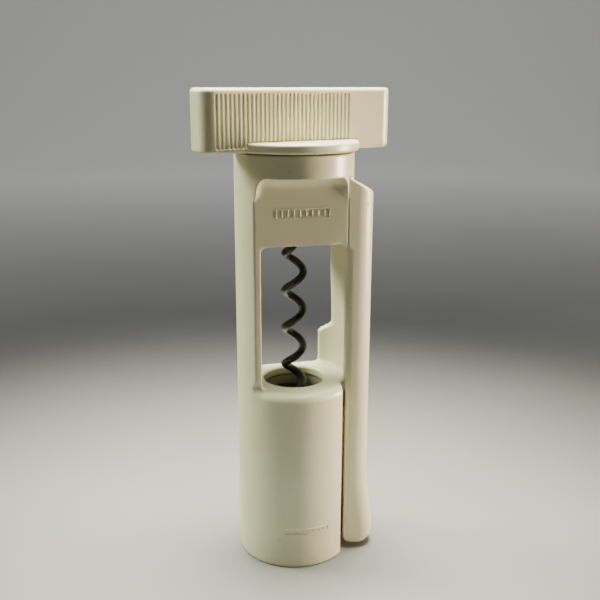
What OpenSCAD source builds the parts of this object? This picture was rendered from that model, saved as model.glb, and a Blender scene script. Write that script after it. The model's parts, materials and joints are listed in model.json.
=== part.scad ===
// Self-pulling corkscrew: a bell that stands on the bottle, a coated worm turned by a grooved
// paddle knob, and a clamp lever that squeezes a rubber jaw on the bottle's neck.
// Millimetres, +Z up, -Y is the front with the window, +X is the lever's side.
// The origin lies on the body's axis in the plane of the bell's mouth.

/* [Body] */
// Outside diameter of the body and the bell
body_d = 43.5; // [43:0.1:44]
// Height from the bell's mouth to the collar's top
body_h = 156.2; // [155.6:0.1:156.4]
// Wall thickness of the body
wall = 2.4; // [2.2:0.1:2.6]
// Distance from the axis to the flat front face
flat_y = 13.2; // [13:0.1:13.4]
// Height of the shelf on top of the bell
shelf_z = 70.5; // [70:0.5:71.5]
// Height of the window's upper edge
window_top = 124; // [123.5:0.1:124.5]
// Diameter of the hole that the cork rises through
cork_d = 23.2; // [22:0.2:25]

/* [Worm] */
// Outside diameter of the worm, over its coating
worm_d = 9.8; // [9:0.1:10.4]
// Thickness of the coated wire
wire_d = 2.9; // [2.4:0.1:3.2]
// Rise of the worm in one turn
worm_pitch = 14.6; // [13:0.1:16]
// Height of the worm's tip above the bell's mouth
worm_tip_z = 13.5; // [12.5:0.5:20]

/* [Knob] */
// Length of the paddle
knob_len = 76.2; // [72:0.1:78]
// Thickness of the paddle
knob_t = 15; // [14.6:0.1:16]
// Height of the knob
knob_h = 21.5; // [20:0.5:24]
// Diameter of the knob's round base
knob_base_d = 46.6; // [44:0.2:48]
// Angle of the paddle at rest
knob_turn = 17.5; // [0:2.5:90]
// Spacing of the grip grooves
groove_pitch = 1.615; // [1.5:0.005:1.7]

/* [Lever] */
// Distance from the axis to the lever's outer face
lever_x = 27.9; // [27.8:0.1:28.6]
// Distance from the axis to the outer face at the flared foot
lever_foot_x = 30.8; // [30.2:0.1:31]
// Angle that the lever swings inwards
lever_swing = 0.6; // [0.4:0.1:0.6]
// Height of the hinge pin
pivot_z = 138; // [137:0.5:139]

/* [Hidden] */
$fn = 96;

e = 0.01;
big = 100;
fit_gap = 0.1;
screw_play = 0.25;
body_r = body_d / 2;
bore_r = body_r - wall;
ivory = [0.87, 0.86, 0.77];
black = [0.10, 0.10, 0.11];
steel = [0.72, 0.73, 0.75];

// Body: flat, window, flat right side of the bell
pocket_top = 148.3;
pocket_half = 17.8;
pocket_corner = 4.5;
pocket_fillet = 4.2;
window_x0 = -14.9;
window_x1 = 17.4;
window_r = 2.2;
bell_cut_x = 15.6;
shelf_t = 4;
shelf_bridge_y = 10.4;
rim_c = 2.2;
rebate_x = 16.7;
rebate_y = 10.7;
rebate_gap = 0.2;
lug_y = 10.6;
lug_r = 2.5;
lug_play = 0.4;
pivot_x = 22.8;
pin_r = 1.2;
pin_half = 11.9;
pin_running = 0.06;

// Rear opening: half widths from its top down to the shelf
rear_top_z = 122;
rear_half = [[17.3, rear_top_z], [17.9, 88.5], [13.4, 82.5], [13.4, shelf_z - e]];
sill_y = 15.2;
sill_drop = 2.5;

// Head: roof over the window, plate that carries the upper bush
roof_t = 5;
head_wall = 4;
plate_z = 150;
plate_t = 4;
plate_r = bore_r - fit_gap;
post_r = 3.5;
post_ring = 15;
post_angles = [90, 210, 330];
screw_core_r = 1.25;
screw_head_r = 2.6;
bush_r = 6;
bush_flange_r = 8.5;
bush_flange_t = 1.5;
boss_r = 8.5;
boss_top = window_top + 12;
spindle_r = 4;
running = 0.05;

// Screw train, from the worm's root up to the knob
ferrule_r = 5.4;
ferrule_z = window_top - 1.1;
ferrule_t = 1.8;
washer_t = 0.9;
washer_play = 0.3;
lower_flange_z = ferrule_z + ferrule_t + washer_t + running;
knob_z = body_h + 0.6;
knob_top = knob_z + knob_h;
shank_r = 2;
shank_top = ferrule_z + 20;
neck_r = 3;
neck_z = knob_z + 0.7;
spindle_top = knob_top - 7;
hub_r = 4.6;
worm_pin_z = ferrule_z + 13;
worm_pin_r = 1;
drive_pin_z = knob_z + 10;
drive_pin_r = 1.2;

// Knob: paddle shell on a round base
base_t = 3.5;
base_c = 1.2;
tongue_t = 2.5;
shell_t = 2.2;
corner_r = 5;
edge_c = 1.5;
groove_w = 0.75;
groove_d = 0.6;
groove_count = 33;
groove_start = -33.5;
groove_foot = 1.6;
groove_head = 1.9;
knob_boss_s = [-30, -13.5, 13.5, 30];
knob_boss_r = 3.1;

// Lever: channel that straddles the body
flange_t = 2.3;
plate_wall = 2.2;
lever_corner = 7;
lever_gap = 0.25;
lip_x = 17.1;
lip_t = 2.2;
lip_w = 3.4;
lip_lift = 0.5;
lever_low_x = 17.4;
lever_top_in = [17.6, 147.8];
lever_top_out_z = 142.1;
flare_z = 28;
foot_z = 8.4;
foot_low_z = 3.6;
lever_low_z = 1.3;
jaw_z = 40;
jaw_h = 24;
jaw_y = 8.4;
nose_y = 6;
jaw_x = 21;
nose_x = 16.9;
pad_x = 15.8;
jaw_screw_dz = 8;
spring_z = 92;
stud_r = 1.7;

// Neck sleeve inside the bell
sleeve_low = 3;
seat_z = 63;
sleeve_t = 1.9;
sleeve_r = bore_r - fit_gap;
neck_clear_r = 15.5;
sleeve_ribs = 12;
sleeve_rib_w = 1.6;
slot_y = 7.2;
sleeve_setback = 0.3;

worm_r = (worm_d - wire_d) / 2;
worm_root_z = ferrule_z;
worm_turns = (worm_root_z - worm_tip_z) / worm_pitch;
// Height and direction at which the worm's wire stands out furthest
worm_crest_z = 111.9;
worm_crest_angle = -12.5;
worm_root_angle = worm_crest_angle + 360 * (worm_root_z - worm_crest_z) / worm_pitch;

// ---------- shared shapes ----------

module along_y(y0, y1) {
    translate([0, y1, 0]) rotate([90, 0, 0]) linear_extrude(height = y1 - y0) children();
}

module along_x(x0, x1) {
    translate([x0, 0, 0]) rotate([90, 0, 90]) linear_extrude(height = x1 - x0) children();
}

module rounded_box_2d(x0, x1, y0, y1, r) {
    translate([x0 + r, y0]) square([x1 - x0 - 2 * r, y1 - y0]);
    translate([x0, y0 + r]) square([x1 - x0, y1 - y0 - 2 * r]);
    for (x = [x0 + r, x1 - r], y = [y0 + r, y1 - r]) translate([x, y]) circle(r = r);
}

module tube(r_out, r_in, z0, z1) {
    translate([0, 0, z0]) difference() {
        cylinder(r = r_out, h = z1 - z0);
        translate([0, 0, -1]) cylinder(r = r_in, h = z1 - z0 + 2);
    }
}

module rod_y(x, z, r, half) {
    translate([x, half, z]) rotate([90, 0, 0]) cylinder(r = r, h = 2 * half);
}

module rod_x(x0, x1, y, z, r) {
    translate([x0, y, z]) rotate([0, 90, 0]) cylinder(r = r, h = x1 - x0);
}

// Pan-head screw, head down at z0, thread pointing up
module screw_up(length, core_r, head_r, head_t) {
    difference() {
        cylinder(r = head_r, h = head_t);
        for (a = [0, 90]) rotate(a)
            translate([-head_r * 0.6, -0.4, -e]) cube([head_r * 1.2, 0.8, head_t * 0.55]);
    }
    translate([0, 0, head_t]) cylinder(r = core_r, h = length);
}

function tube_faces(rings, sides) = concat(
    [[for (k = [sides - 1:-1:0]) k]],
    [for (i = [0:rings - 2], k = [0:sides - 1])
        [i * sides + k, i * sides + (k + 1) % sides,
         (i + 1) * sides + (k + 1) % sides, (i + 1) * sides + k]],
    [[for (k = [0:sides - 1]) (rings - 1) * sides + k]]
);

// Ring of points round a helix about Z, its wire radius w at angle a, height z, helix radius r
function wire_ring(r, a, z, w, slope, sides) = [
    for (k = [0:sides - 1])
        let (t = 360 * k / sides, u = w * cos(t), v = w * sin(t))
        [(r + u) * cos(a) + v * sin(slope) * sin(a),
         (r + u) * sin(a) - v * sin(slope) * cos(a),
         z + v * cos(slope)]
];

module swept_wire(rings) {
    polyhedron(points = [for (ring = rings, p = ring) p],
               faces = tube_faces(len(rings), len(rings[0])));
}

// ---------- body ----------

module body_outside() {
    difference() {
        cylinder(r = body_r, h = body_h);
        front_pocket();
        // rebate that the lever's lip covers
        translate([rebate_x, -big, shelf_z])
            cube([big, big - rebate_y, pocket_top - rebate_gap - shelf_z]);
        // rim of the shelf
        translate([0, 0, shelf_z]) front_half()
            rotate_extrude() polygon([
                [body_r - rim_c, e], [body_r + 1, e], [body_r + 1, -rim_c - 1], [body_r, -rim_c]
            ]);
        // flat on the bell's right side; the shelf itself runs on to the right pillar
        translate([bell_cut_x, -big / 2, -1]) cube([big, big, shelf_z - shelf_t + 1]);
        for (s = [-1, 1])
            translate([bell_cut_x, s * (shelf_bridge_y + big / 2) - big / 2, shelf_z - shelf_t - e])
                cube([big, big, shelf_t + e]);
    }
    // hinge lug, clear of the lever's inside all round
    intersection() {
        along_y(-lug_y, lug_y) {
            translate([pivot_x, pivot_z]) circle(r = lug_r);
            translate([body_r - 4, pivot_z - lug_r]) square([pivot_x - body_r + 4, 2 * lug_r]);
        }
        linear_extrude(height = 2 * big) lever_plan(lever_x - plate_wall - lug_play, flange_t + lug_play);
    }
}

// Recess of the front: flat floor, rounded corners at its top, and a hollow fillet under them
module front_pocket() {
    fillet_z = pocket_top - pocket_fillet;
    intersection() {
        along_y(-big, 0) {
            translate([-pocket_half, shelf_z])
                square([2 * pocket_half, pocket_top - pocket_corner - shelf_z]);
            translate([-pocket_half + pocket_corner, shelf_z])
                square([2 * (pocket_half - pocket_corner), pocket_top - shelf_z]);
            for (s = [-1, 1])
                translate([s * (pocket_half - pocket_corner), pocket_top - pocket_corner])
                    circle(r = pocket_corner);
        }
        along_x(-big, big) {
            translate([-big, shelf_z]) square([big - flat_y, fillet_z - shelf_z]);
            translate([-big, shelf_z])
                square([big - flat_y - pocket_fillet, pocket_top - shelf_z]);
            translate([-flat_y - pocket_fillet, fillet_z]) circle(r = pocket_fillet);
        }
    }
}

module front_half() {
    intersection() {
        children();
        translate([-big, -big - flat_y, -big]) cube([2 * big, big, 2 * big]);
    }
}

module chamber(z0, z1, front_wall) {
    intersection() {
        translate([0, 0, z0]) cylinder(r = bore_r, h = z1 - z0);
        translate([-big, -flat_y + front_wall, z0]) cube([2 * big, big, z1 - z0]);
    }
}

module housing() {
    color(ivory) difference() {
        union() {
            difference() {
                body_outside();
                // bell cavity, worm chamber, head
                translate([0, 0, -e]) cylinder(r = bore_r, h = shelf_z - shelf_t + e);
                chamber(shelf_z, window_top, wall);
                chamber(window_top + roof_t, plate_z, head_wall);
                translate([0, 0, plate_z - e]) cylinder(r = bore_r, h = big);
                // window in the front
                along_y(-big, 0) {
                    rounded_box_2d(window_x0, window_x1, shelf_z, window_top, window_r);
                    // square corner for the foot of the lever's lip
                    translate([window_x1 - window_r, shelf_z]) square(window_r);
                }
                // opening in the back, and its sill
                along_y(0, big) polygon(concat(
                    [for (p = rear_half) p],
                    [for (i = [len(rear_half) - 1:-1:0]) [-rear_half[i][0], rear_half[i][1]]]
                ));
                translate([-rear_half[3][0], sill_y, shelf_z - sill_drop])
                    cube([2 * rear_half[3][0], big, sill_drop + 1]);
            }
            // boss for the lower bush
            translate([0, 0, window_top]) cylinder(r = boss_r, h = boss_top - window_top);
            // posts under the bearing plate
            for (a = post_angles) rotate(a) {
                translate([post_ring, 0, window_top + e])
                    cylinder(r = post_r, h = plate_z - window_top - e);
            }
        }
        translate([0, 0, shelf_z - shelf_t - 1]) cylinder(r = cork_d / 2, h = shelf_t + 2);
        translate([0, 0, window_top - 1]) cylinder(r = bush_r, h = boss_top);
        translate([0, 0, window_top - 1])
            cylinder(r = bush_flange_r + washer_play, h = lower_flange_z + bush_flange_t - window_top + 1);
        for (a = post_angles) rotate(a)
            translate([post_ring, 0, plate_z - 12]) cylinder(r = screw_core_r, h = 13);
        rod_y(pivot_x, pivot_z, pin_r, lug_y + 1);
    }
}

module bearing_plate() {
    color(ivory) difference() {
        translate([0, 0, plate_z]) cylinder(r = plate_r, h = plate_t);
        translate([0, 0, plate_z - 1]) cylinder(r = bush_r, h = plate_t + 2);
        for (a = post_angles) rotate(a) translate([post_ring, 0, plate_z - 1]) {
            cylinder(r = screw_core_r + screw_play, h = plate_t + 2);
            translate([0, 0, plate_t - 1]) cylinder(r = screw_head_r + screw_play, h = 3);
        }
    }
}

module plate_screws() {
    color(steel) for (a = post_angles) rotate(a)
        translate([post_ring, 0, plate_z + plate_t - 0.2]) mirror([0, 0, 1])
            screw_up(10, screw_core_r, screw_head_r, 1.8);
}

module upper_bush() {
    flange_z = plate_z + plate_t;
    color("white") {
        tube(bush_r, spindle_r + running, plate_z, flange_z + 0.5);
        tube(bush_flange_r, spindle_r + running, flange_z, flange_z + bush_flange_t);
    }
}

module lower_bush() {
    color("white") {
        tube(bush_r, spindle_r + running, lower_flange_z, boss_top - 1);
        tube(bush_flange_r, spindle_r + running, lower_flange_z, lower_flange_z + bush_flange_t);
    }
}

module neck_sleeve() {
    color([0.80, 0.80, 0.74]) difference() {
        union() {
            tube(sleeve_r, sleeve_r - sleeve_t, sleeve_low, seat_z);
            tube(sleeve_r, cork_d / 2 + 0.3, seat_z, shelf_z - shelf_t);
            for (i = [0:sleeve_ribs - 1]) rotate(15 + i * 360 / sleeve_ribs)
                translate([neck_clear_r, -sleeve_rib_w / 2, sleeve_low])
                    cube([sleeve_r - sleeve_t / 2 - neck_clear_r, sleeve_rib_w, seat_z - sleeve_low + 1]);
        }
        // flat beside the bell's flat, and a slot for the jaw
        translate([bell_cut_x - sleeve_setback, -big / 2, -1]) cube([big, big, big]);
        translate([5, -slot_y, sleeve_low - 1]) cube([big, 2 * slot_y, seat_z - sleeve_low - 3]);
    }
}

module hinge_pin() {
    color(steel) rod_y(pivot_x, pivot_z, pin_r, pin_half);
}

module return_spring() {
    turns = 2.5;
    per_turn = 16;
    coil_r = 2.9;
    coil_wire_r = 0.35;
    sides = 6;
    x0 = body_r + 0.5;
    x1 = lever_x - plate_wall - 0.6;
    n = turns * per_turn;
    slope = atan((x1 - x0) / turns / (2 * PI * coil_r));
    color(steel) translate([x0, 0, spring_z]) rotate([0, 90, 0]) swept_wire([
        for (i = [0:n])
            wire_ring(coil_r, 360 * i / per_turn, (x1 - x0) * i / n, coil_wire_r, slope, sides)
    ]);
}

// ---------- screw train ----------

module knob_turned() {
    rotate(knob_turn) children();
}

module paddle_2d(inset) {
    rounded_box_2d(-knob_len / 2 + inset, knob_len / 2 - inset,
                   -knob_t / 2 + inset, knob_t / 2 - inset, corner_r - min(inset, 3));
}

module paddle_core() {
    hull() {
        translate([0, 0, knob_z + edge_c]) linear_extrude(height = knob_h - 2 * edge_c)
            paddle_2d(0);
        translate([0, 0, knob_z]) linear_extrude(height = knob_h) paddle_2d(edge_c);
    }
}

// Grip grooves of the front face; the rear face has the same grooves turned half round
module grip_grooves() {
    for (half = [0, 180]) rotate(half)
        translate([0, 0, knob_z + groove_foot])
            linear_extrude(height = knob_h - groove_foot - groove_head)
                for (i = [0:groove_count - 1])
                    translate([groove_start + i * groove_pitch - groove_w / 2, -knob_t / 2 - 1])
                        square([groove_w, groove_d + 1]);
}

module knob_shell() {
    color(ivory) knob_turned() difference() {
        union() {
            difference() {
                paddle_core();
                grip_grooves();
                translate([0, 0, knob_z - 1]) linear_extrude(height = knob_h - shell_t + 1)
                    paddle_2d(groove_d + shell_t);
            }
            for (s = knob_boss_s) translate([s, 0, knob_z + base_t])
                cylinder(r = knob_boss_r, h = knob_h - base_t - shell_t + e);
        }
        // seat of the round base
        translate([0, 0, knob_z - 1]) cylinder(r = knob_base_d / 2 + running, h = base_t + 1);
        for (s = knob_boss_s) translate([s, 0, knob_z + base_t - 1])
            cylinder(r = screw_core_r, h = 11);
    }
}

module knob_base() {
    color(ivory) knob_turned() difference() {
        union() {
            translate([0, 0, knob_z]) rotate_extrude() polygon([
                [0, 0], [knob_base_d / 2 - 0.6, 0], [knob_base_d / 2, 0.6],
                [knob_base_d / 2, base_t - base_c], [knob_base_d / 2 - base_c, base_t], [0, base_t]
            ]);
            translate([0, 0, knob_z]) linear_extrude(height = tongue_t)
                paddle_2d(groove_d + shell_t + fit_gap);
            for (s = [knob_boss_s[0], knob_boss_s[3]]) translate([s, 0, knob_z])
                cylinder(r = knob_boss_r, h = base_t);
            translate([0, 0, knob_z]) cylinder(r = hub_r, h = spindle_top - knob_z - 1);
        }
        translate([0, 0, knob_z - 1]) cylinder(r = neck_r, h = knob_h);
        translate([0, 0, knob_z - 1]) cylinder(r = spindle_r, h = neck_z - knob_z + 1);
        for (s = knob_boss_s) translate([s, 0, knob_z]) {
            translate([0, 0, -1]) cylinder(r = screw_core_r + screw_play, h = base_t + 2);
            translate([0, 0, -1]) cylinder(r = screw_head_r + screw_play, h = 2.7);
        }
        rod_x(-hub_r - 1, hub_r + 1, 0, drive_pin_z, drive_pin_r);
    }
}

module knob_screws() {
    color(steel) knob_turned() for (s = knob_boss_s)
        translate([s, 0, knob_z + 0.1]) screw_up(9, screw_core_r, screw_head_r, 1.6);
}

module spindle() {
    color(black) difference() {
        union() {
            translate([0, 0, ferrule_z]) cylinder(r = ferrule_r, h = ferrule_t);
            translate([0, 0, ferrule_z]) cylinder(r = spindle_r, h = neck_z - ferrule_z);
            translate([0, 0, neck_z]) cylinder(r = neck_r, h = spindle_top - neck_z);
        }
        translate([0, 0, ferrule_z - 1]) cylinder(r = shank_r, h = shank_top - ferrule_z + 1);
        rod_y(0, worm_pin_z, worm_pin_r, spindle_r + 1);
        knob_turned() rod_x(-spindle_r - 1, spindle_r + 1, 0, drive_pin_z, drive_pin_r);
    }
}

// The wire starts as a point, grows over tip_turns, and runs in to the axis over the last
// lead_turns, where it becomes the straight shank
module worm() {
    per_turn = 20;
    sides = 10;
    tip_turns = 0.75;
    tip_share = 0.12;
    lead_turns = 0.3;
    axis_r = 0.15;
    shank_start = worm_root_z - 1.2;
    n = round(worm_turns * per_turn);
    slope = atan(worm_pitch / (2 * PI * worm_r));
    color(black) difference() {
        union() {
            swept_wire([
                for (i = [0:n])
                    let (
                        turn = worm_turns * i / n,
                        left = worm_turns - turn,
                        z = worm_tip_z + (worm_root_z - worm_tip_z) * i / n,
                        w = wire_d / 2 * min(1, tip_share + (1 - tip_share) * turn / tip_turns),
                        lead = min(1, left / lead_turns),
                        r = (worm_r + (wire_d / 2 - w) * 0.6) * lead * lead * (3 - 2 * lead)
                    )
                    wire_ring(max(r, axis_r), worm_root_angle - 360 * left, z, w, slope, sides)
            ]);
            translate([0, 0, shank_start]) cylinder(r = shank_r, h = shank_top - shank_start - 0.2);
        }
        rod_y(0, worm_pin_z, worm_pin_r, shank_r + 1);
    }
}

module worm_pin() {
    color(steel) rod_y(0, worm_pin_z, worm_pin_r, spindle_r - fit_gap);
}

module drive_pin() {
    color(steel) knob_turned() rod_x(-hub_r, hub_r, 0, drive_pin_z, drive_pin_r);
}

module thrust_washer() {
    flange_top = plate_z + plate_t + bush_flange_t;
    color(steel) tube(bush_flange_r, spindle_r, flange_top + running, knob_z);
}

module lower_washer() {
    z = ferrule_z + ferrule_t;
    color(steel) tube(bush_flange_r - 1.5, spindle_r, z, z + washer_t);
}

// ---------- lever ----------

// Outline of the channel seen from above, moved inwards by grow
module lever_plan(x_max, grow) {
    y = flat_y - grow;
    r = lever_corner - grow;
    x0 = bell_cut_x;
    translate([x0, -y]) square([x_max - r - x0, 2 * y]);
    translate([x0, -y + r]) square([x_max - x0, 2 * (y - r)]);
    for (s = [-1, 1]) translate([x_max - r, s * (y - r)]) circle(r = r);
}

module lever_slice(z, x_max, grow) {
    translate([0, 0, z]) linear_extrude(height = 0.1) lever_plan(x_max, grow);
}

// Outside of the channel, or its inside where grow is the wall's thickness
module lever_body(grow) {
    side = grow > 0 ? plate_wall : 0;
    intersection() {
        translate([0, 0, flare_z]) linear_extrude(height = big * 2)
            lever_plan(lever_x - side, grow);
        along_y(-big, big) polygon([
            [0, flare_z], [0, lever_top_in[1] - grow * 1.1],
            [lever_top_in[0], lever_top_in[1] - grow * 1.1],
            [lever_x, lever_top_out_z - grow * 1.1], [lever_x + 1, flare_z]
        ]);
    }
    hull() {
        lever_slice(flare_z, lever_x - side, grow);
        lever_slice(foot_z, lever_foot_x - side, grow);
        lever_slice(foot_low_z + grow / 2, lever_foot_x - 0.8 - side, grow);
        translate([0, 0, lever_low_z + grow]) linear_extrude(height = 0.1)
            intersection() {
                lever_plan(lever_foot_x - 4 - side, grow);
                square([big, 2 * (flat_y - 1.5 - grow)], center = true);
            }
    }
}

// Room for the round body and for the flat bell while the lever swings
module body_clearance() {
    rest_r = body_r + lever_gap;
    low_r = rest_r + (pivot_z - shelf_z) * tan(lever_swing);
    translate([0, -big, -big]) cube([lever_low_x, 2 * big, big + shelf_z]);
    translate([0, 0, shelf_z - 0.4]) cylinder(r = low_r, h = 0.4 + e);
    translate([0, 0, shelf_z]) cylinder(r1 = low_r, r2 = rest_r, h = pivot_z - shelf_z + e);
    translate([0, 0, pivot_z]) cylinder(r = rest_r, h = big);
}

// Lip beside the window and the flat, in front of the body's rebate
module lever_lip() {
    intersection() {
        translate([lip_x, -flat_y, shelf_z + lip_lift]) cube([lip_w, lip_t, big]);
        lever_body(0);
    }
}

module lever_shell() {
    color(ivory) {
        lever_channel();
        lever_lip();
    }
}

module lever_channel() {
    jaw_face = lever_x - plate_wall;
    difference() {
        union() {
            difference() {
                lever_body(0);
                lever_body(flange_t);
            }
            // seats of the jaw's screws and of the spring
            for (s = [-1, 1]) rod_x(jaw_face - 0.8, jaw_face + 1, 0, jaw_z + s * jaw_screw_dz, 3);
            rod_x(jaw_face - 0.6, jaw_face + 1, 0, spring_z, stud_r);
        }
        body_clearance();
        rod_y(pivot_x, pivot_z, pin_r + pin_running, pin_half + fit_gap);
        for (s = [-1, 1])
            rod_x(jaw_face - 2, jaw_face + 1.2, 0, jaw_z + s * jaw_screw_dz, screw_core_r);
    }
}

module jaw() {
    back = lever_x - plate_wall - 0.8;
    color(ivory) difference() {
        union() {
            translate([jaw_x, -jaw_y, jaw_z - jaw_h / 2]) cube([back - jaw_x, 2 * jaw_y, jaw_h]);
            translate([nose_x, -nose_y, jaw_z - jaw_h / 2]) cube([jaw_x - nose_x + e, 2 * nose_y, jaw_h]);
        }
        for (s = [-1, 1]) {
            rod_x(nose_x - 1, big, 0, jaw_z + s * jaw_screw_dz, screw_core_r + screw_play);
            rod_x(nose_x - 1, jaw_x + 1, 0, jaw_z + s * jaw_screw_dz, screw_head_r + screw_play);
        }
    }
}

module jaw_pad() {
    pad_t = nose_x - pad_x;
    color([0.2, 0.2, 0.2]) difference() {
        translate([pad_x - 0.4, -nose_y, jaw_z - 4.5]) cube([pad_t + 0.4, 2 * nose_y, 9]);
        translate([0, 0, jaw_z - jaw_h]) cylinder(r = pad_x, h = 2 * jaw_h);
    }
}

module jaw_screws() {
    color(steel) for (s = [-1, 1])
        translate([jaw_x - 0.6, 0, jaw_z + s * jaw_screw_dz]) rotate([0, 90, 0])
            screw_up(lever_x - plate_wall + 1 - jaw_x - 1, screw_core_r, screw_head_r, 1.6);
}

housing();
bearing_plate();
plate_screws();
upper_bush();
lower_bush();
neck_sleeve();
hinge_pin();
return_spring();
knob_shell();
knob_base();
knob_screws();
spindle();
worm();
worm_pin();
drive_pin();
thrust_washer();
lower_washer();
lever_shell();
jaw();
jaw_pad();
jaw_screws();
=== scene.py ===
import json
import math

import bpy
import numpy as np
from mathutils import Matrix, Vector


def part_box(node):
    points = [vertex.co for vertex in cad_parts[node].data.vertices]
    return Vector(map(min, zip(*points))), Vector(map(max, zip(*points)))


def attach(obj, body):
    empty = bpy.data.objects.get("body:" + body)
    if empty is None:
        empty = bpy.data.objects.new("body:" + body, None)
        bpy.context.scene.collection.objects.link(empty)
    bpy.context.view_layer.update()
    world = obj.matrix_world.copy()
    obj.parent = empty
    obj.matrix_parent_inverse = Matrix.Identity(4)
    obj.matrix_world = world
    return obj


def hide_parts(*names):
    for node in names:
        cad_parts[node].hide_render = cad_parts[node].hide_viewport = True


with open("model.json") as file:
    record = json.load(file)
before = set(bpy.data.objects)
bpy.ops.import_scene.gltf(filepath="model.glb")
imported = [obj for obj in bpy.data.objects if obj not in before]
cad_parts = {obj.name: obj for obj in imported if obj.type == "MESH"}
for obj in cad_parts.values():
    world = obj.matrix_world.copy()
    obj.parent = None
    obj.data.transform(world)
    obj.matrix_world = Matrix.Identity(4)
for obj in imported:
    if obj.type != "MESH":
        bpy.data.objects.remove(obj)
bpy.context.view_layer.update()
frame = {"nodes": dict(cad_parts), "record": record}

# Shapes are worked out in millimetres and written to the meshes in metres
MM = 0.001


def lowest(node):
    """Lowest corner of a CAD node, in millimetres."""
    return np.array(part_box(node)[0]) / MM


def highest(node):
    """Highest corner of a CAD node, in millimetres."""
    return np.array(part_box(node)[1]) / MM


# ---------------------------------------------------------------- sizes

# Body and bell
BODY_R = -lowest("housing")[0]
BODY_TOP = highest("housing")[2]
BODY_EDGE = 0.7
WALL = 2.4
BORE_R = BODY_R - WALL
FLAT_Y = -lowest("lever_shell")[1]
SHELF_LOW = highest("neck_sleeve")[2]
SHELF_Z = SHELF_LOW + 4.0
SHELF_RIM = 2.8
CORK_R = 11.6
CORK_EDGE = 1.3
BELL_FLAT_X = 15.6
BRIDGE_HALF = 10.4

# Recess and window of the front
POCKET_TOP = 148.3
POCKET_HALF = 17.8
POCKET_CORNER = 4.5
POCKET_FILLET = 4.2
POCKET_SHARP = 0.1
WINDOW_LEFT = -14.9
WINDOW_RIGHT = 17.4
WINDOW_TOP = lowest("spindle")[2] + 1.1
WINDOW_CORNER = 2.2
WINDOW_FOOT = 1.9

# Opening in the back: a narrow lower part, a slanting step and a wide upper part
REAR_TOP = WINDOW_TOP - 2.0
REAR_CORNER = 2.5
REAR_LOW_HALF = 13.4
REAR_STEP = 4.5
REAR_STEP_LOW = 82.5
REAR_STEP_HIGH = 88.5
REAR_TAPER = 0.6
SILL_Y = 15.2
SILL_DROP = 2.5

# Head
PLATE_Z = lowest("bearing_plate")[2]
ROOF_Z = WINDOW_TOP + 5.0
HEAD_WALL = 4.0
BOSS_R = 8.5
BOSS_TOP = WINDOW_TOP + 12.0
BUSH_R = 6.0
FLANGE_SEAT_TOP = WINDOW_TOP + 3.15
POST_R = 3.5
POST_RING = 15.0
POST_ANGLES = (90, 210, 330)

# Hinge
PIN_MIDDLE = (lowest("hinge_pin") + highest("hinge_pin")) / 2
PIVOT_X = PIN_MIDDLE[0]
PIVOT_Z = PIN_MIDDLE[2]
PIN_R = (highest("hinge_pin")[0] - lowest("hinge_pin")[0]) / 2
PIN_HALF = highest("hinge_pin")[1]
LUG_R = 2.5
LUG_HALF = 10.6
LUG_PLAY_X = 0.4
LUG_PLAY_Y = 0.45

# Lever
LEVER_X = 27.9
LEVER_TOP = highest("lever_shell")[2]
LEVER_CORNER = 7.0
LEVER_SKIN = 2.25
LEVER_LOW_X = 17.4
LEVER_EDGE = 1.0
SHOULDER_Z = 142.1
SHOULDER_SLOPE = 0.553
SHOULDER_SCALE = 0.875
FLARE_Z = 34.0
FOOT_X = highest("lever_shell")[0]
FOOT_FLARE_Z = 4.0
FOOT_LOW_Z = 1.2
FOOT_LOW_X = 23.5
FOOT_CURVE = 0.045
FOOT_SCALE = 0.95
FOOT_EDGE = 2.8
LIP_X = 17.05
LIP_END_X = 20.6
LIP_T = 2.2
LIP_EDGE = 1.85
REBATE_X = 17.0
REBATE_Y = FLAT_Y - LIP_T - 0.2
JAW_SCREWS_Z = (32.0, 48.0)
SPRING_Z = 92.0
LEVER_SWING = math.radians(frame["record"]["behaviour"]["joints"][1]["range_deg"][1])

# Knob
KNOB_TURN = math.radians(17.5)
KNOB_Z = lowest("knob_shell")[2]
KNOB_TOP = highest("knob_shell")[2]
KNOB_LEN = 76.2
KNOB_T = 15.0
KNOB_CORNER = 5.0
KNOB_EDGE = 1.5
KNOB_SKIN = 2.2
GROOVE_PITCH = 1.615
GROOVE_W = 0.8
GROOVE_D = 0.6
GROOVE_COUNT = 33
GROOVE_START = -33.5
GROOVE_FOOT = 1.6
GROOVE_HEAD = 1.9
HOLLOW_HALF_S = KNOB_LEN / 2 - KNOB_SKIN
HOLLOW_HALF_T = KNOB_T / 2 - GROOVE_D - KNOB_SKIN
HOLLOW_CORNER = 2.8
KNOB_SCREWS = (-30.0, -13.5, 13.5, 30.0)
KNOB_BOSS_R = 3.1
SCREW_CORE_R = 1.25
SCREW_HOLE_R = 1.45
SCREW_HEAD_R = 2.8
DISC_R = 23.3
DISC_T = 3.5
HUB_R = 4.6
HUB_TOP = highest("spindle")[2] - 1
SPINDLE_NECK_R = 3.0
SPINDLE_R = 4.0

# Worm
WORM_TIP_Z = 13.5
WORM_R = 3.45
WIRE_R = 1.45
WORM_PITCH = 14.6
WORM_ROOT_Z = lowest("spindle")[2]
WORM_SHANK_TOP = highest("worm")[2] - 0.4
WORM_CREST_Z = 111.9
WORM_CREST_ANGLE = math.radians(-12.5)


# ---------------------------------------------------------------- distance fields

def both(a, b, radius=0.02):
    """Where both fields are inside, with the edge between them rounded."""
    corner = np.hypot(np.maximum(radius + a, 0), np.maximum(radius + b, 0))
    return np.minimum(-radius, np.maximum(a, b)) + corner


def either(a, b, radius=0.02):
    """Where one of the fields is inside, with a hollow fillet between them."""
    return -both(-a, -b, radius)


def without(a, b, radius=0.02):
    """Where the first field is inside and the second isn't."""
    return both(a, -b, radius)


def between(value, low, high):
    """Inside from low to high."""
    return np.maximum(low - value, value - high)


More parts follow.
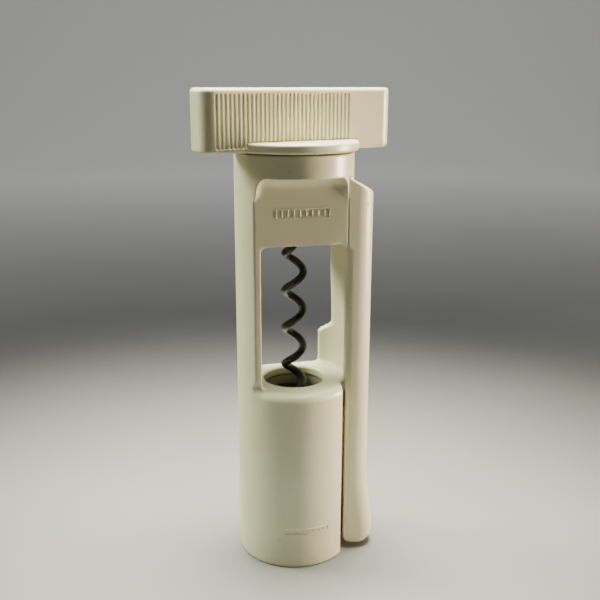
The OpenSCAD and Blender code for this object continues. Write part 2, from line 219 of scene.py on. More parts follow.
def rounded_rect(u, v, half_u, half_v, radius):
    """Rectangle about the origin with rounded corners."""
    return both(np.abs(u) - half_u, np.abs(v) - half_v, radius)


def ease(value, low, high):
    """Grows smoothly from 0 at low to 1 at high."""
    t = np.clip((value - low) / (high - low), 0, 1)
    return t * t * (3 - 2 * t)


# ---------------------------------------------------------------- meshing

def levels(low, high, step, fine=()):
    """Grid lines from low to high, closer together in each fine stretch (from, to, step)."""
    lines = [low]
    while lines[-1] < high:
        here = lines[-1]
        size = step
        for start, end, fine_step in fine:
            away = max(start - here, here - end, 0)
            size = min(size, fine_step + 0.35 * away)
        lines.append(here + size)
    return np.array(lines)


def slope(field, points, reach):
    """Direction in which the field grows fastest at each point."""
    result = np.empty_like(points)
    for axis in range(3):
        step = np.zeros(3)
        step[axis] = reach
        ahead = points + step
        behind = points - step
        result[:, axis] = field(*ahead.T) - field(*behind.T)
    return result / (2 * reach)


def net(field, xs, ys, zs):
    """Points and quads of the field's surface, one point in each grid cell that it crosses."""
    values = field(xs[:, None, None], ys[None, :, None], zs[None, None, :])
    values = np.broadcast_to(values, (len(xs), len(ys), len(zs)))
    inside = values < 0
    lines = (xs, ys, zs)
    cells = tuple(len(line) - 1 for line in lines)
    total = np.zeros((cells[0] * cells[1] * cells[2], 3))
    count = np.zeros(len(total))
    quads = []
    for axis in range(3):
        ahead = [slice(None)] * 3
        ahead[axis] = slice(1, None)
        here = [slice(None)] * 3
        here[axis] = slice(None, -1)
        changed = inside[tuple(here)] != inside[tuple(ahead)]
        index = np.argwhere(changed)
        step = np.zeros(3, int)
        step[axis] = 1
        first = values[tuple(index.T)]
        second = values[tuple((index + step).T)]
        share = first / (first - second)
        place = np.stack([lines[k][index[:, k]] for k in range(3)], axis=1)
        place[:, axis] += share * (lines[axis][index[:, axis] + 1] - place[:, axis])
        u = (axis + 1) % 3
        v = (axis + 2) % 3
        ring = []
        for du, dv in ((-1, -1), (0, -1), (0, 0), (-1, 0)):
            cell = index.copy()
            cell[:, u] += du
            cell[:, v] += dv
            flat = (cell[:, 0] * cells[1] + cell[:, 1]) * cells[2] + cell[:, 2]
            ring.append(flat)
            np.add.at(total, flat, place)
            np.add.at(count, flat, 1)
        ring = np.stack(ring, axis=1)
        leaving = first < 0
        ring[~leaving] = ring[~leaving][:, ::-1]
        quads.append(ring)
    quads = np.concatenate(quads)
    used, compact = np.unique(quads, return_inverse=True)
    points = total[used] / count[used][:, None]
    return points, compact.reshape(quads.shape)


def settle(field, points, reach):
    """Moves the points onto the surface, each by no more than reach."""
    start = points.copy()
    for _ in range(4):
        grow = slope(field, points, 0.02)
        size = np.maximum((grow * grow).sum(axis=1), 0.05)
        points = points - grow * (field(*points.T) / size)[:, None]
        moved = points - start
        length = np.linalg.norm(moved, axis=1)
        points = start + moved * np.minimum(1, reach / np.maximum(length, 1e-9))[:, None]
    return points


def mesh_object(name, points, faces, normals=None, turn=0.0):
    """Smooth object from points in millimetres, turned about the body's axis."""
    cos = math.cos(turn)
    sin = math.sin(turn)
    spin = np.array([[cos, -sin, 0], [sin, cos, 0], [0, 0, 1]])
    mesh = bpy.data.meshes.new(name)
    mesh.from_pydata((points @ spin.T * MM).tolist(), [], faces)
    mesh.validate()
    mesh.polygons.foreach_set("use_smooth", [True] * len(mesh.polygons))
    if normals is not None:
        mesh.normals_split_custom_set_from_vertices((normals @ spin.T).tolist())
    obj = bpy.data.objects.new(name, mesh)
    bpy.context.scene.collection.objects.link(obj)
    return obj


def solid_from(name, field, xs, ys, zs, turn=0.0):
    """Object whose surface is where the field is zero."""
    points, quads = net(field, xs, ys, zs)
    points = settle(field, points, 0.45 * max(np.diff(xs).min(), np.diff(ys).min()) + 0.1)
    normals = slope(field, points, 0.06)
    normals /= np.maximum(np.linalg.norm(normals, axis=1), 1e-9)[:, None]
    return mesh_object(name, points, quads.tolist(), normals, turn)


def piece(obj, body, slot, material, *nodes):
    """Puts a finished object on its CAD body in place of the named nodes."""
    obj.data.materials.clear()
    obj.data.materials.append(material)
    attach(obj, body)
    if nodes:
        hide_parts(*nodes)
    return obj


# ---------------------------------------------------------------- body

def front_recess(x, y, z):
    """Room in front of the flat face, with a hollow fillet under the collar."""
    outline = both(np.abs(x) - POCKET_HALF, z - POCKET_TOP, POCKET_CORNER)
    near_ceiling = ease(z, POCKET_TOP - 10, POCKET_TOP - POCKET_CORNER)
    fillet = POCKET_SHARP + (POCKET_FILLET - POCKET_SHARP) * near_ceiling
    return both(outline, y + FLAT_Y, fillet)


def window_and_chamber(x, y, z):
    """The window's opening and the room for the cork behind it."""
    middle = (WINDOW_LEFT + WINDOW_RIGHT) / 2
    half = (WINDOW_RIGHT - WINDOW_LEFT) / 2
    corner = WINDOW_CORNER + 1.4 * ease(x, 2, 12)
    opening = both(np.abs(x - middle) - half, z - WINDOW_TOP, corner)
    opening = np.maximum(opening, y + 8)
    chamber = both(np.hypot(x, y) - BORE_R, z - WINDOW_TOP, 0.8)
    chamber = both(chamber, -(y + FLAT_Y - WALL), 0.6)
    return np.minimum(opening, chamber)


def rear_opening(x, y, z):
    """Stepped opening in the back, wide above and narrow above the shelf."""
    half = REAR_LOW_HALF + REAR_STEP * ease(z, REAR_STEP_LOW, REAR_STEP_HIGH)
    half = half - REAR_TAPER * ease(z, REAR_STEP_HIGH, REAR_TOP)
    side = (np.abs(x) - half) * 0.85
    return np.maximum(both(side, z - REAR_TOP, REAR_CORNER), 4 - y)


def rear_sill(x, y, z):
    """Room behind the sill of the rear opening, which is set back from the round outside."""
    width = np.maximum(np.abs(x) - REAR_LOW_HALF, between(z, SHELF_Z - SILL_DROP, SHELF_Z + 12))
    return np.maximum(SILL_Y - y, width)


def lip_rebate(x, y, z):
    """Room behind the lever's lip, wider at its foot where the lip swings further."""
    edge_x = REBATE_X - 0.9 * (1 - ease(z, SHELF_Z + 2, SHELF_Z + 6))
    rebate = np.maximum(edge_x - x, y + REBATE_Y)
    return np.maximum(rebate, between(z, SHELF_Z + 0.05, POCKET_TOP - 0.2))


def bell_side(x, y, z):
    """Space beside the bell, where the lever's jaw reaches in."""
    low = np.maximum(BELL_FLAT_X - x, z - SHELF_LOW)
    beside_bridge = np.maximum(z - SHELF_Z + 0.4, BRIDGE_HALF - np.abs(y))
    return np.minimum(low, np.maximum(BELL_FLAT_X - x, beside_bridge))


def head_room(x, y, z):
    """Closed room over the roof and the open seat of the bearing plate."""
    rho = np.hypot(x, y)
    inner = both(rho - BORE_R, -(y + FLAT_Y - HEAD_WALL), 0.6)
    closed = np.maximum(inner, between(z, ROOF_Z, PLATE_Z))
    seat = np.maximum(rho - BORE_R, PLATE_Z - z)
    return np.minimum(closed, seat)


def head_posts(x, y, z):
    """Posts that carry the bearing plate."""
    nearest = np.inf
    for angle in POST_ANGLES:
        turn = math.radians(angle)
        away = np.hypot(x - POST_RING * math.cos(turn), y - POST_RING * math.sin(turn))
        nearest = np.minimum(nearest, away)
    return np.maximum(nearest - POST_R, between(z, ROOF_Z - 1, PLATE_Z))


def bush_room(x, y, z):
    """Bore of the lower bush and the wider seat of its flange."""
    rho = np.hypot(x, y)
    seat = np.maximum(rho - BOSS_R - 0.3, between(z, WINDOW_TOP - 5, FLANGE_SEAT_TOP))
    bore = np.maximum(rho - BUSH_R, between(z, WINDOW_TOP - 5, BOSS_TOP + 5))
    return np.minimum(seat, bore)


def hinge_lug(x, y, z):
    """Lug in the lever's channel that holds the hinge pin."""
    eye = np.hypot(x - PIVOT_X, z - PIVOT_Z) - LUG_R
    web = np.maximum(between(x, BODY_R - 4, PIVOT_X), np.abs(z - PIVOT_Z) - LUG_R)
    room = lever_plan(x, y, LEVER_X - LEVER_SKIN - LUG_PLAY_X, LEVER_SKIN + LUG_PLAY_Y)
    return np.maximum(np.maximum(np.minimum(eye, web), np.abs(y) - LUG_HALF), room)


def pillars_and_bell(x, y, z):
    """What the recess, window, rear opening and lip leave above the shelf, and all below it."""
    window_edge = 0.35 + 1.3 * ease(x, 9, 16)
    pillars = without(-front_recess(x, y, z), window_and_chamber(x, y, z), window_edge)
    pillars = without(pillars, rear_opening(x, y, z), 0.5)
    shape = either(pillars, z - SHELF_Z, WINDOW_FOOT)
    shape = without(shape, rear_sill(x, y, z), 0.6)
    return without(shape, lip_rebate(x, y, z), 0.1)


def housing_field(x, y, z):
    """The main moulding with its bell, window, head and hinge lug."""
    rho = np.hypot(x, y)
    outside = both(rho - BODY_R, between(z, 0, BODY_TOP), BODY_EDGE)
    rim = 0.4 + SHELF_RIM * (1 - ease(z, SHELF_Z + 0.2, SHELF_Z + 3.5)) * ease(-y, 8, 13)
    shape = both(outside, pillars_and_bell(x, y, z), rim)
    shape = without(shape, bell_side(x, y, z), 0.7)
    shape = without(shape, np.maximum(rho - BORE_R, z - SHELF_LOW), 0.5)
    shape = without(shape, np.maximum(rho - CORK_R, np.abs(z - SHELF_Z) - 8), CORK_EDGE)
    shape = without(shape, head_room(x, y, z), 0.4)
    boss = np.maximum(rho - BOSS_R, between(z, WINDOW_TOP, BOSS_TOP))
    shape = np.minimum(shape, np.minimum(boss, head_posts(x, y, z)))
    shape = without(shape, bush_room(x, y, z), 0.2)
    return np.minimum(shape, hinge_lug(x, y, z))


def build_housing(material):
    fine_x = [(-POCKET_HALF - 0.4, WINDOW_LEFT + 0.5, 0.4), (BELL_FLAT_X - 0.6, POCKET_HALF + 0.8, 0.4)]
    fine_y = [(-FLAT_Y - 1, -REBATE_Y + 0.4, 0.42)]
    fine_z = [(-0.6, 1.2, 0.3), (SHELF_LOW - 0.5, SHELF_Z + 4, 0.4),
              (WINDOW_TOP - 3, WINDOW_TOP + 0.6, 0.4),
              (POCKET_TOP - POCKET_CORNER, POCKET_TOP + 0.8, 0.35),
              (BODY_TOP - 1, BODY_TOP + 0.5, 0.25)]
    xs = levels(-BODY_R - 1, PIVOT_X + 4, 0.72, fine_x)
    ys = levels(-BODY_R - 1, BODY_R + 1, 0.72, fine_y)
    zs = levels(-1, BODY_TOP + 1, 1.3, fine_z)
    obj = solid_from("body_moulding", housing_field, xs, ys, zs)
    return piece(obj, "body", "ivory_plastic", material, "housing")


# ---------------------------------------------------------------- lever

def lever_plan(x, y, x_max, grow):
    """Outline of the channel from above: straight flanges and a rounded outer face."""
    return both(x - x_max, np.abs(y) - FLAT_Y + grow, LEVER_CORNER - grow)


def lever_outer_x(z):
    """Distance of the lever's outer face from the axis: it flares towards the foot."""
    return LEVER_X + (FOOT_X - LEVER_X) * ease(z, FLARE_Z, FOOT_FLARE_Z)


def disc_on_x(y, z, z0, radius, x_range):
    """Short round stud along X at height z0."""
    return np.maximum(np.hypot(y, z - z0) - radius, x_range)


def lever_studs(x, y, z):
    """Seats of the jaw's screws and of the return spring inside the channel."""
    shape = disc_on_x(y, z, SPRING_Z, 1.7, between(x, LEVER_X - 2.8, LEVER_X - 1))
    for z0 in JAW_SCREWS_Z:
        shape = np.minimum(shape, disc_on_x(y, z, z0, 3.0, between(x, LEVER_X - 3, LEVER_X - 1)))
    return shape


def lever_field(x, y, z):
    """The channel with its shoulder, flared foot, front lip and hinge bore."""
    outer_x = lever_outer_x(z)
    top = (z - SHOULDER_Z - (LEVER_X - x) * SHOULDER_SLOPE) * SHOULDER_SCALE
    foot = (FOOT_LOW_Z + FOOT_CURVE * (x - FOOT_LOW_X) ** 2 - z) * FOOT_SCALE
    outside = both(lever_plan(x, y, outer_x, 0), top, LEVER_EDGE)
    outside = both(outside, foot, FOOT_EDGE)
    inside = lever_plan(x, y, outer_x - LEVER_SKIN, LEVER_SKIN)
    inside = np.maximum(inside, np.maximum(top + LEVER_SKIN, foot + LEVER_SKIN + 1))
    # way that the lever swings inwards at each height
    travel = np.clip(PIVOT_Z - z, 0, PIVOT_Z - SHELF_Z) * math.tan(LEVER_SWING)
    # rounded front edge beside the bell and the window, a sharper one beside the flat
    edge_x = np.minimum(LIP_X + travel, LEVER_LOW_X)
    front_edge = 0.12 + LIP_EDGE * (1 - ease(z, WINDOW_TOP - 2.5, WINDOW_TOP))
    outside = both(outside, edge_x - x, front_edge)
    # above the shelf the flanges end in a round seat for the body, with a lip in front of it
    seat = np.where(z < SHELF_Z - 1, -5, BODY_R + 0.1 + travel - np.hypot(x, y))
    channel = without(both(outside, seat, 0.15), inside, 0.25)
    lip = np.maximum(outside, np.maximum(x - LIP_END_X, y + FLAT_Y - LIP_T))
    shape = np.minimum(channel, np.maximum(lip, SHELF_Z - 3.0 - z))
    shape = np.minimum(shape, lever_studs(x, y, z))
    eye = np.hypot(x - PIVOT_X, z - PIVOT_Z) - PIN_R - 0.3
    return without(shape, np.maximum(eye, np.abs(y) - PIN_HALF - 0.25), 0.1)


def build_lever(material):
    fine_x = [(BELL_FLAT_X, LIP_END_X - 0.1, 0.3), (PIVOT_X - 2, PIVOT_X + 2, 0.4),
              (LEVER_X - 2.6, LEVER_X + 0.4, 0.4)]
    fine_y = [(-FLAT_Y - 0.4, -FLAT_Y + 2.8, 0.35), (FLAT_Y - 2.8, FLAT_Y + 0.4, 0.35)]
    fine_z = [(0.6, 9, 0.45), (WINDOW_TOP - 3, WINDOW_TOP + 1, 0.5),
              (PIVOT_Z - 2, PIVOT_Z + 2, 0.4), (SHOULDER_Z - 1.1, SHOULDER_Z + 6.5, 0.4)]
    xs = levels(LIP_X - 0.6, FOOT_X + 1, 0.6, fine_x)
    ys = levels(-FLAT_Y - 1, FLAT_Y + 1, 0.7, fine_y)
    zs = levels(0.4, LEVER_TOP + 1, 1.2, fine_z)
    obj = solid_from("side_lever", lever_field, xs, ys, zs)
    return piece(obj, "lever", "ivory_plastic", material, "lever_shell")


# ---------------------------------------------------------------- knob

def grip_grooves(s, t, z):
    """Upright grooves in the front face; the rear face has them turned half round."""
    along = np.where(t < 0, s, -s)
    number = np.clip(np.round((along - GROOVE_START) / GROOVE_PITCH), 0, GROOVE_COUNT - 1)
    across = np.abs(along - GROOVE_START - number * GROOVE_PITCH) - GROOVE_W / 2
    groove = both(across, KNOB_T / 2 - GROOVE_D - np.abs(t), 0.25)
    return both(groove, between(z, KNOB_Z + GROOVE_FOOT, KNOB_TOP - GROOVE_HEAD), 0.3)


def knob_field(s, t, z):
    """The paddle in its own directions: s along it, t through it."""
    shape = rounded_rect(s, t, KNOB_LEN / 2, KNOB_T / 2, KNOB_CORNER)
    shape = both(shape, between(z, KNOB_Z, KNOB_TOP), KNOB_EDGE)
    shape = without(shape, grip_grooves(s, t, z), 0.22)
    hollow = rounded_rect(s, t, HOLLOW_HALF_S, HOLLOW_HALF_T, HOLLOW_CORNER)
    shape = without(shape, np.maximum(hollow, z - KNOB_TOP + KNOB_SKIN), 0.2)
    for s0 in KNOB_SCREWS:
        rho = np.hypot(s - s0, t)
        boss = np.maximum(rho - KNOB_BOSS_R, between(z, KNOB_Z + DISC_T, KNOB_TOP - 1))
        hole = np.maximum(rho - SCREW_CORE_R, z - KNOB_Z - 14)
        shape = np.minimum(shape, without(boss, hole, 0.1))
    seat = np.maximum(np.hypot(s, t) - DISC_R - 0.05, z - KNOB_Z - DISC_T)
    return without(shape, seat, 0.05)


def build_knob(material):
    end = KNOB_LEN / 2
    face = KNOB_T / 2
    fine_s = [(-end - 1.4, -end + 3.6, 0.4), (GROOVE_START - 1, 1 - GROOVE_START, 0.2),
              (end - 3.6, end + 1.4, 0.4)]
    fine_t = [(-face - 0.3, -face + 1, 0.18), (face - 1, face + 0.3, 0.18)]
    fine_z = [(KNOB_Z - 0.2, KNOB_Z + 2, 0.3), (KNOB_TOP - 3, KNOB_TOP + 0.2, 0.3)]
    xs = levels(-end - 1, end + 1, 0.6, fine_s)
    ys = levels(-face - 1, face + 1, 0.7, fine_t)
    zs = levels(KNOB_Z - 1, KNOB_TOP + 1, 1.2, fine_z)
    obj = solid_from("knob_paddle", knob_field, xs, ys, zs, KNOB_TURN)
    return piece(obj, "screw", "ivory_plastic", material, "knob_shell")


def base_field(s, t, z):
    """Round base with its tongue inside the paddle, screw bosses and hub."""
    rho = np.hypot(s, t)
    disc = both(rho - DISC_R, between(z, KNOB_Z, KNOB_Z + DISC_T), 1.0)
    tongue = rounded_rect(s, t, HOLLOW_HALF_S - 0.1, HOLLOW_HALF_T - 0.1, HOLLOW_CORNER)
    tongue = both(tongue, between(z, KNOB_Z + 0.25, KNOB_Z + 2.5), 0.2)
    hub = np.maximum(rho - HUB_R, between(z, KNOB_Z, HUB_TOP))
    shape = np.minimum(np.minimum(disc, tongue), hub)
    for s0 in KNOB_SCREWS:
        away = np.hypot(s - s0, t)
        if abs(s0) > DISC_R:
            boss = np.maximum(away - KNOB_BOSS_R, between(z, KNOB_Z + 0.25, KNOB_Z + DISC_T))
            shape = np.minimum(shape, boss)
        recess = np.maximum(away - SCREW_HEAD_R, between(z, KNOB_Z - 5, KNOB_Z + 1.7))
        hole = np.maximum(away - SCREW_HOLE_R, between(z, KNOB_Z - 5, KNOB_Z + 9))
        shape = without(shape, np.minimum(recess, hole), 0.15)
    bore = np.maximum(rho - SPINDLE_NECK_R, between(z, KNOB_Z - 5, KNOB_TOP))
    wide = np.maximum(rho - SPINDLE_R, between(z, KNOB_Z - 5, KNOB_Z + 0.7))
    return without(shape, np.minimum(bore, wide), 0.05)


def build_knob_base(material):
    fine_z = [(KNOB_Z - 0.5, KNOB_Z + DISC_T + 0.4, 0.28)]
    xs = levels(-KNOB_LEN / 2, KNOB_LEN / 2, 0.55)
    ys = levels(-DISC_R - 1, DISC_R + 1, 0.55)
    zs = levels(KNOB_Z - 0.6, HUB_TOP + 1, 1.2, fine_z)
    obj = solid_from("knob_disc", base_field, xs, ys, zs, KNOB_TURN)
    return piece(obj, "screw", "ivory_plastic", material, "knob_base")


# ---------------------------------------------------------------- worm

def worm_middle():
    """Middle of the wire and its radius: ground to a point below, run in to the axis above."""
    points_per_turn = 56
    turns = (WORM_ROOT_Z - WORM_TIP_Z) / WORM_PITCH
    root_angle = WORM_CREST_ANGLE + 2 * math.pi * (WORM_ROOT_Z - WORM_CREST_Z) / WORM_PITCH
    turn = np.linspace(0, turns, int(turns * points_per_turn))
    left = turns - turn
    wire = WIRE_R * (0.06 + 0.94 * ease(turn, -0.12, 0.62))
    radius = (WORM_R + (WIRE_R - wire) * 0.8) * ease(left, 0, 0.3)
    angle = root_angle - 2 * math.pi * left
    z = WORM_TIP_Z + WORM_PITCH * turn
    helix = np.stack([radius * np.cos(angle), radius * np.sin(angle), z], axis=1)
    # straight shank inside the ferrule
    shank_z = np.linspace(WORM_ROOT_Z + 0.4, WORM_SHANK_TOP, 8)
    shank = np.stack([0 * shank_z, 0 * shank_z, shank_z], axis=1)
    return np.vstack([helix, shank]), np.concatenate([wire, np.full(len(shank_z), WIRE_R)])


def build_worm(material):
    """Coated wire: a ring of points round each point of its middle."""
    sides = 24
    middle, wire = worm_middle()
    ahead = np.gradient(middle, axis=0)
    ahead /= np.linalg.norm(ahead, axis=1)[:, None]
    phase = np.arange(sides) * 2 * math.pi / sides
    reference = np.array([1.0, 0, 0])
    rings = []
    for k in range(len(middle)):
        reference = reference - ahead[k] * (reference @ ahead[k])
        reference /= np.linalg.norm(reference)
        side = np.cross(ahead[k], reference)
        ring = np.outer(np.cos(phase), reference) + np.outer(np.sin(phase), side)
        rings.append(middle[k] + wire[k] * ring)
    faces = []
    for k in range(len(middle) - 1):
        for i in range(sides):
            j = (i + 1) % sides
            faces.append([k * sides + i, k * sides + j, (k + 1) * sides + j, (k + 1) * sides + i])
    last = (len(middle) - 1) * sides
    faces.append(list(range(sides))[::-1])
    faces.append(list(range(last, last + sides)))
    obj = mesh_object("coated_worm", np.concatenate(rings), faces)
    return piece(obj, "screw", "worm_coating", material, "worm")


# ---------------------------------------------------------------- blank tablets

def tablet_height(u, v, half_u, half_v, bars, rise):
    """Height of a blank tablet over the surface: a raised frame and a row of plain bars."""
    frame_line = 0.16 - np.abs(rounded_rect(u, v, half_u, half_v, 0.5) + 0.25)
    pitch = (2 * half_u - 2.2) / bars
    place = (u + bars * pitch / 2) % pitch - pitch / 2
    bar = 0.34 - np.abs(place)
    bar = np.minimum(bar, half_v - 0.85 - np.abs(v))
    bar = np.minimum(bar, bars * pitch / 2 - np.abs(u))
    line = np.maximum(frame_line, bar)
    sunk = 0.12
    return -sunk + (sunk + rise) * ease(line, -0.12, 0.12)


def build_tablet(name, half_u, half_v, bars, rise, place, material):
    """Closed tablet: place(u, v, h) gives the point that lies h over the surface at (u, v)."""
    margin = 0.3
    us = np.linspace(-half_u - margin, half_u + margin, int(half_u * 17))
    vs = np.linspace(-half_v - margin, half_v + margin, int(half_v * 22))
    u, v = np.meshgrid(us, vs, indexing="ij")
    top = place(u, v, tablet_height(u, v, half_u, half_v, bars, rise)).reshape(-1, 3)
    bottom = place(u, v, np.full(u.shape, -0.5)).reshape(-1, 3)
    points = np.concatenate([top, bottom])
    nu, nv = u.shape
    below = nu * nv
    faces = []
    for i in range(nu - 1):
        for j in range(nv - 1):
            a = i * nv + j
            b = a + nv
            faces.append([a, b, b + 1, a + 1])
            faces.append([a + 1 + below, b + 1 + below, b + below, a + below])
    rim = [i * nv for i in range(nu)]
    rim += [(nu - 1) * nv + j for j in range(1, nv)]
    rim += [i * nv + nv - 1 for i in range(nu - 2, -1, -1)]
    rim += list(range(nv - 2, 0, -1))
    for k, a in enumerate(rim):
        b = rim[(k + 1) % len(rim)]
        faces.append([b, a, a + below, b + below])
    obj = mesh_object(name, points, faces)
    return piece(obj, "body", "ivory_plastic", material)


def on_flat(x0, z0):
    """Places a tablet on the flat front face, about (x0, z0)."""
    def place(u, v, h):
        return np.stack([x0 + u, -FLAT_Y - h, z0 + v], axis=-1)
    return place


def on_bell(angle, z0):
    """Places a tablet on the round bell, about the angle and height."""
    def place(u, v, h):
        turn = angle + u / BODY_R
        radius = BODY_R + h
        return np.stack([radius * np.cos(turn), radius * np.sin(turn), z0 + v], axis=-1)
    return place


# ---------------------------------------------------------------- materials

def add_node(tree, kind, **inputs):
    """Adds a shader node and sets the inputs that are given by name."""
    node = tree.nodes.new(kind)
    for key, value in inputs.items():
        node.inputs[key.replace("_", " ")].default_value = value
    return node


def noise(tree, coords, scale, detail=3.0, rough=0.5):
    """Cloudy noise between 0 and 1."""
    node = add_node(tree, "ShaderNodeTexNoise", Scale=scale, Detail=detail, Roughness=rough)
    tree.links.new(coords, node.inputs["Vector"])
    return node.outputs["Fac"]


def remap(tree, value, from_low, from_high, to_low, to_high):
    """Stretches a value from one range to another."""
    node = tree.nodes.new("ShaderNodeMapRange")
    for k, number in enumerate((from_low, from_high, to_low, to_high)):
        node.inputs[k + 1].default_value = number
    tree.links.new(value, node.inputs[0])
    return node.outputs[0]


def blend_colours(tree, share, first, second):
    """Mixes two colours, each a tuple or an output of another node."""
    node = tree.nodes.new("ShaderNodeMix")
    node.data_type = "RGBA"
    tree.links.new(share, node.inputs[0])
    for socket, colour in ((node.inputs[6], first), (node.inputs[7], second)):
        if isinstance(colour, tuple):
            socket.default_value = (*colour, 1)
        else:
            tree.links.new(colour, socket)
    return node.outputs[2]


def bump(tree, height, strength, distance, under=None):
    """Surface normals for a height, on top of the normals under it."""
    node = add_node(tree, "ShaderNodeBump", Strength=strength, Distance=distance)
    tree.links.new(height, node.inputs["Height"])
    if under is not None:
        tree.links.new(under, node.inputs["Normal"])
    return node.outputs["Normal"]


def new_material(name):
    """Material with its tree, shader and object coordinates."""
    material = bpy.data.materials.new(name)
    material.use_nodes = True
    tree = material.node_tree
    shader = tree.nodes["Principled BSDF"]
    coords = tree.nodes.new("ShaderNodeTexCoord").outputs["Object"]
    return material, tree, shader, coords


def moulded_plastic(name, colour, aged, roughness, grain=0.12, specks=0.5):
    """Injection-moulded plastic: cloudy tone, spark-eroded grain, dust and rubbed patches."""
    material, tree, shader, coords = new_material(name)
    cloud = remap(tree, noise(tree, coords, 38, 4), 0.35, 0.7, 0, 1)
    tone = blend_colours(tree, cloud, colour, aged)
    speck = remap(tree, noise(tree, coords, 900, 2), 0.70, 0.76, 0, specks)
    dirt = tuple(c * 0.55 for c in aged)
    tree.links.new(blend_colours(tree, speck, tone, dirt), shader.inputs["Base Color"])
    rubbed = noise(tree, coords, 70, 5, 0.6)
    tree.links.new(remap(tree, rubbed, 0.3, 0.7, roughness - 0.06, roughness + 0.08),
                   shader.inputs["Roughness"])
    waves = bump(tree, noise(tree, coords, 120, 1), 0.12, 0.0004)
    fine = bump(tree, noise(tree, coords, 2600, 2), grain, 0.0001, waves)
    tree.links.new(fine, shader.inputs["Normal"])
    return material


def metal(name, colour, stain, roughness, brush=0.25):
    """Turned and plated steel: fine ring marks, stain clouds and uneven gloss."""
    material, tree, shader, coords = new_material(name)
    shader.inputs["Metallic"].default_value = 1.0
    cloud = remap(tree, noise(tree, coords, 160, 5), 0.4, 0.75, 0, 1)
    tree.links.new(blend_colours(tree, cloud, colour, stain), shader.inputs["Base Color"])
    stretch = tree.nodes.new("ShaderNodeMapping")
    stretch.inputs["Scale"].default_value = (1, 1, 14)
    tree.links.new(coords, stretch.inputs["Vector"])
    marks = noise(tree, stretch.outputs["Vector"], 420, 3)
    tree.links.new(remap(tree, marks, 0.3, 0.7, roughness - 0.08, roughness + 0.1),
                   shader.inputs["Roughness"])
    tree.links.new(bump(tree, marks, brush, 0.00005), shader.inputs["Normal"])
    return material


def coating(name):
    """Black non-stick coating: slightly orange-peeled, with paler rubbed spots."""
    material, tree, shader, coords = new_material(name)
    worn = remap(tree, noise(tree, coords, 260, 5, 0.6), 0.56, 0.72, 0, 1)
    tree.links.new(blend_colours(tree, worn, (0.013, 0.016, 0.015), (0.035, 0.038, 0.036)),
                   shader.inputs["Base Color"])
    tree.links.new(remap(tree, noise(tree, coords, 500, 3), 0.3, 0.7, 0.26, 0.42),
                   shader.inputs["Roughness"])
    peel = bump(tree, noise(tree, coords, 900, 2), 0.25, 0.0001)
    tree.links.new(peel, shader.inputs["Normal"])
    return material


def rubber(name):
    """Dull moulded rubber with a dusty bloom."""
    material, tree, shader, coords = new_material(name)
    bloom = remap(tree, noise(tree, coords, 220, 5, 0.65), 0.45, 0.75, 0, 1)
    tree.links.new(blend_colours(tree, bloom, (0.025, 0.025, 0.027), (0.07, 0.07, 0.068)),
                   shader.inputs["Base Color"])
    tree.links.new(remap(tree, bloom, 0, 1, 0.62, 0.85), shader.inputs["Roughness"])
    tree.links.new(bump(tree, noise(tree, coords, 1500, 3), 0.35, 0.0001), shader.inputs["Normal"])
    return material


def dress(material, *nodes):
    """Gives carried-over CAD nodes their material."""
    for name in nodes:
        obj = frame["nodes"][name]
        for slot in obj.material_slots:
            slot.material = material


# ---------------------------------------------------------------- stage

def build_floor():
    """Pale floor that curves up into a low wall all round."""
    flat_r = 1.5
    bend_r = 0.7
    top = 1.9
    bend_steps = 16
    sides = 96
    profile = [(0.1, 0.0), (flat_r / 2, 0.0), (flat_r, 0.0)]
    for k in range(1, bend_steps + 1):
        a = k / bend_steps * math.pi / 2
        profile.append((flat_r + bend_r * math.sin(a), bend_r * (1 - math.cos(a))))
    profile.append((flat_r + bend_r, top))
    points = [(0, 0, 0)]
    faces = []
    for r, z in profile:
        for k in range(sides):
            a = 2 * math.pi * k / sides
            points.append((r * math.cos(a), r * math.sin(a), z))
    for k in range(sides):
        faces.append([0, 1 + k, 1 + (k + 1) % sides])
    for ring in range(len(profile) - 1):
        for k in range(sides):
            a = 1 + ring * sides + k
            b = 1 + ring * sides + (k + 1) % sides
            faces.append([a, a + sides, b + sides, b])
    mesh = bpy.data.meshes.new("floor")
    mesh.from_pydata(points, [], faces)
    mesh.polygons.foreach_set("use_smooth", [True] * len(mesh.polygons))
    floor = bpy.data.objects.new("floor", mesh)
    bpy.context.scene.collection.objects.link(floor)
    material, tree, shader, coords = new_material("pale_paper")
    shade = remap(tree, noise(tree, coords, 6, 3), 0.3, 0.7, 0, 1)
    near = blend_colours(tree, shade, (0.23, 0.23, 0.225), (0.26, 0.26, 0.255))
    away = tree.nodes.new("ShaderNodeVectorMath")
    away.operation = "LENGTH"
    tree.links.new(coords, away.inputs[0])
    far = remap(tree, away.outputs["Value"], 0.3, 1.3, 0, 1)
    tree.links.new(blend_colours(tree, far, near, (0.62, 0.62, 0.60)), shader.inputs["Base Color"])
    shader.inputs["Roughness"].default_value = 0.8
    shader.inputs["Specular IOR Level"].default_value = 0.2
    mesh.materials.append(material)


def area_light(name, place, target, size, spread, power, colour):
    """Rectangular light at a place, aimed at a target; spread is in degrees."""
    data = bpy.data.lights.new(name, "AREA")
    data.shape = "RECTANGLE"
    data.size, data.size_y = size
    data.spread = math.radians(spread)
    data.energy = power
    data.color = colour
    light = bpy.data.objects.new(name, data)
    light.location = place
    aim = Vector(target) - Vector(place)
    light.rotation_euler = aim.to_track_quat("-Z", "Y").to_euler()
    bpy.context.scene.collection.objects.link(light)


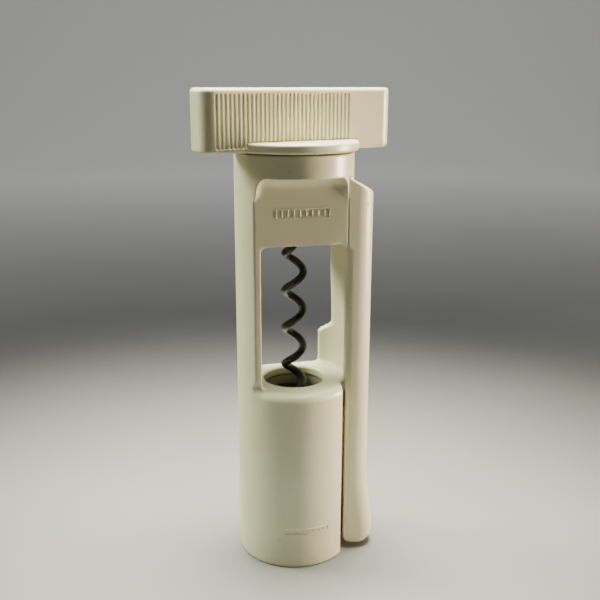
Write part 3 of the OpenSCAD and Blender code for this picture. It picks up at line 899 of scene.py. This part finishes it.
def build_lights():
    """Lights over, right and behind left of the object, one for the backdrop and a dim room."""
    middle = (0, 0, 0.09)
    area_light("overhead", (0.02, 0.04, 0.46), middle, (0.24, 0.18), 60, 1.5, (1.0, 1.0, 0.82))
    area_light("right_warm", (0.745, -0.07, 0.06), (0, 0, 0.06), (0.22, 0.30), 34, 1.0,
               (1.0, 0.82, 0.62))
    area_light("left_cool", (-0.44, 0.24, 0.42), (0, 0, 0.11), (0.2, 0.2), 50, 0.55,
               (0.95, 1.0, 0.74))
    area_light("backdrop", (0.2, 1.0, 1.5), (0.2, 1.35, 0.0), (1.6, 0.8), 180, 15.0,
               (1.0, 1.0, 1.0))
    world = bpy.data.worlds.new("studio")
    bpy.context.scene.world = world
    world.use_nodes = True
    background = world.node_tree.nodes["Background"]
    background.inputs["Color"].default_value = (0.80, 0.82, 0.84, 1)
    background.inputs["Strength"].default_value = 0.02


def build_camera():
    """Camera in front, a little to the left and above, looking slightly down."""
    place = Vector((-0.06292, -0.28381, 0.18014))
    yaw = math.radians(12.95)
    pitch = math.radians(15.27)
    roll = math.radians(0.14)
    level = math.cos(pitch)
    ahead = Vector((math.sin(yaw) * level, math.cos(yaw) * level, -math.sin(pitch)))
    right = Vector((math.cos(yaw), -math.sin(yaw), 0))
    up = right.cross(ahead)
    tilted_right = math.cos(roll) * right + math.sin(roll) * up
    tilted_up = math.cos(roll) * up - math.sin(roll) * right
    data = bpy.data.cameras.new("camera")
    data.sensor_width = 36.0
    data.lens = 47.88
    data.clip_start = 0.01
    camera = bpy.data.objects.new("camera", data)
    turn = Matrix((tilted_right, tilted_up, -ahead)).transposed()
    camera.matrix_world = Matrix.Translation(place) @ turn.to_4x4()
    bpy.context.scene.collection.objects.link(camera)
    bpy.context.scene.camera = camera


# ---------------------------------------------------------------- assembly

build_camera()
build_lights()
build_floor()

ivory = moulded_plastic("ivory_moulded", (0.74, 0.71, 0.50), (0.70, 0.66, 0.44), 0.33)
black_coating = coating("black_coating")
black_steel = metal("blackened_steel", (0.05, 0.05, 0.052), (0.10, 0.085, 0.07), 0.38)
plated_steel = metal("plated_steel", (0.62, 0.61, 0.58), (0.42, 0.40, 0.37), 0.30)
acetal = moulded_plastic("white_acetal", (0.80, 0.80, 0.77), (0.74, 0.74, 0.70), 0.32, 0.05, 0.2)
sleeve_plastic = moulded_plastic("sleeve_plastic", (0.30, 0.29, 0.24), (0.25, 0.24, 0.20), 0.48, 0.2)
jaw_rubber = rubber("jaw_rubber")

build_housing(ivory)
build_lever(ivory)
build_knob(ivory)
build_knob_base(ivory)
build_worm(black_coating)
build_tablet("upper_tablet", 9.9, 1.98, 8, 0.18, on_flat(0.3, 135.8), ivory)
build_tablet("bell_tablet", 9.0, 1.25, 8, 0.30, on_bell(math.radians(-88.8), 15.25), ivory)

dress(ivory, "bearing_plate", "jaw")
dress(plated_steel, "plate_screws", "knob_screws", "jaw_screws", "hinge_pin", "return_spring",
      "worm_pin", "drive_pin", "thrust_washer", "lower_washer")
dress(black_steel, "spindle")
dress(acetal, "upper_bush", "lower_bush")
dress(sleeve_plastic, "neck_sleeve")
dress(jaw_rubber, "jaw_pad")
